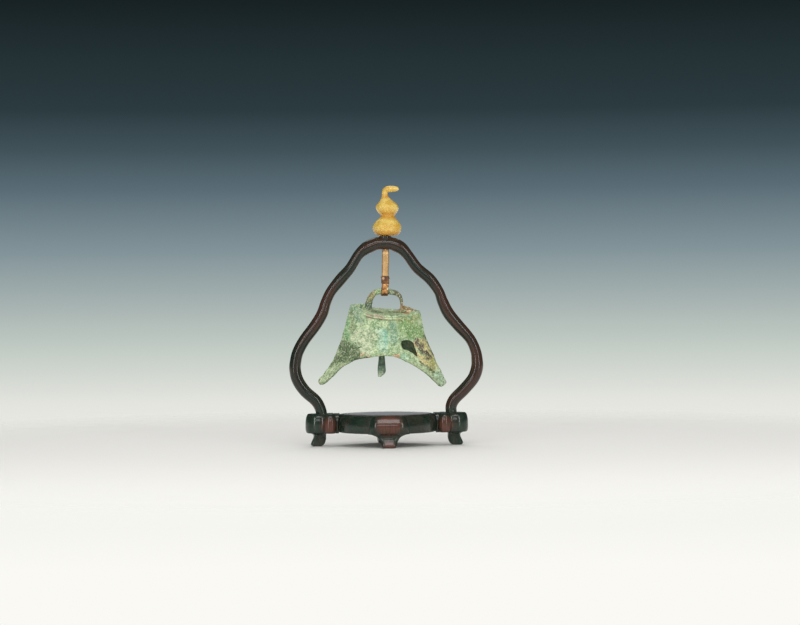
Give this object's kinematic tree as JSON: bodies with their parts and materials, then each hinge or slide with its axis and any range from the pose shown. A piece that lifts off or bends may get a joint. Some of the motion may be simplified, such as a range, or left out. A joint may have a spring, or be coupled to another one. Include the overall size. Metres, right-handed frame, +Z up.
{
  "type": "hanging bell on stand",
  "caption": "Small almond-section bronze bell with flaring horns, hung by a folded strap from a sinuous wooden arch on a round lobed base, with a gourd finial on the crown.",
  "frame": {"origin": "on the ground, under the middle of the base", "axes": "+Z up, +X to the viewer's right along the arch, -Y to the front of the bell"},
  "size_m": [0.1396, 0.076, 0.1878],
  "materials": {
    "dark_wood": "polished reddish-black hardwood",
    "panel_wood": "polished flat hardwood panel",
    "gourd_stone": "waxy yellow carving",
    "copper": "dull copper with a brown tone",
    "cane": "split cane binding",
    "bell_bronze": "crusty green patina",
    "clapper_bronze": "dark green patina"
  },
  "bodies": {
    "stand": {"base_drum": "dark_wood", "base_panel": "panel_wood", "end_block_right": "dark_wood", "end_block_left": "dark_wood", "leg_right": "dark_wood", "leg_left": "dark_wood", "leg_front": "dark_wood", "leg_back": "dark_wood", "arch": "dark_wood", "finial_collar": "dark_wood"},
    "hanger": {"finial_gourd": "gourd_stone", "hanger_pin": "copper", "hanger_strap": "copper", "strap_binding": "cane"},
    "bell": {"bell_body": "bell_bronze", "bell_hoop": "bell_bronze", "clapper_staple": "clapper_bronze"},
    "link": {"clapper_link": "clapper_bronze"},
    "clapper": {"clapper_tongue": "clapper_bronze"}
  },
  "joints": [
    {"name": "finial_swivel", "type": "hinge", "parent": "stand", "child": "hanger", "pos_m": [0, 0, 0.1458], "axis": [0, 0, 1], "continuous": true},
    {"name": "bell_swing", "type": "hinge", "parent": "hanger", "child": "bell", "pos_m": [-0.0007, 0, 0.1109], "axis": [1, 0, 0], "range_deg": [-45, 38]},
    {"name": "link_swing", "type": "hinge", "parent": "bell", "child": "link", "pos_m": [-0.0033, -0.00297, 0.09022], "axis": [1, 0, 0], "range_deg": [-14, 34]},
    {"name": "clapper_swing", "type": "hinge", "parent": "link", "child": "clapper", "pos_m": [-0.0033, -0.00297, 0.08572], "axis": [0, 1, 0], "range_deg": [-22, 20]}
  ]
}
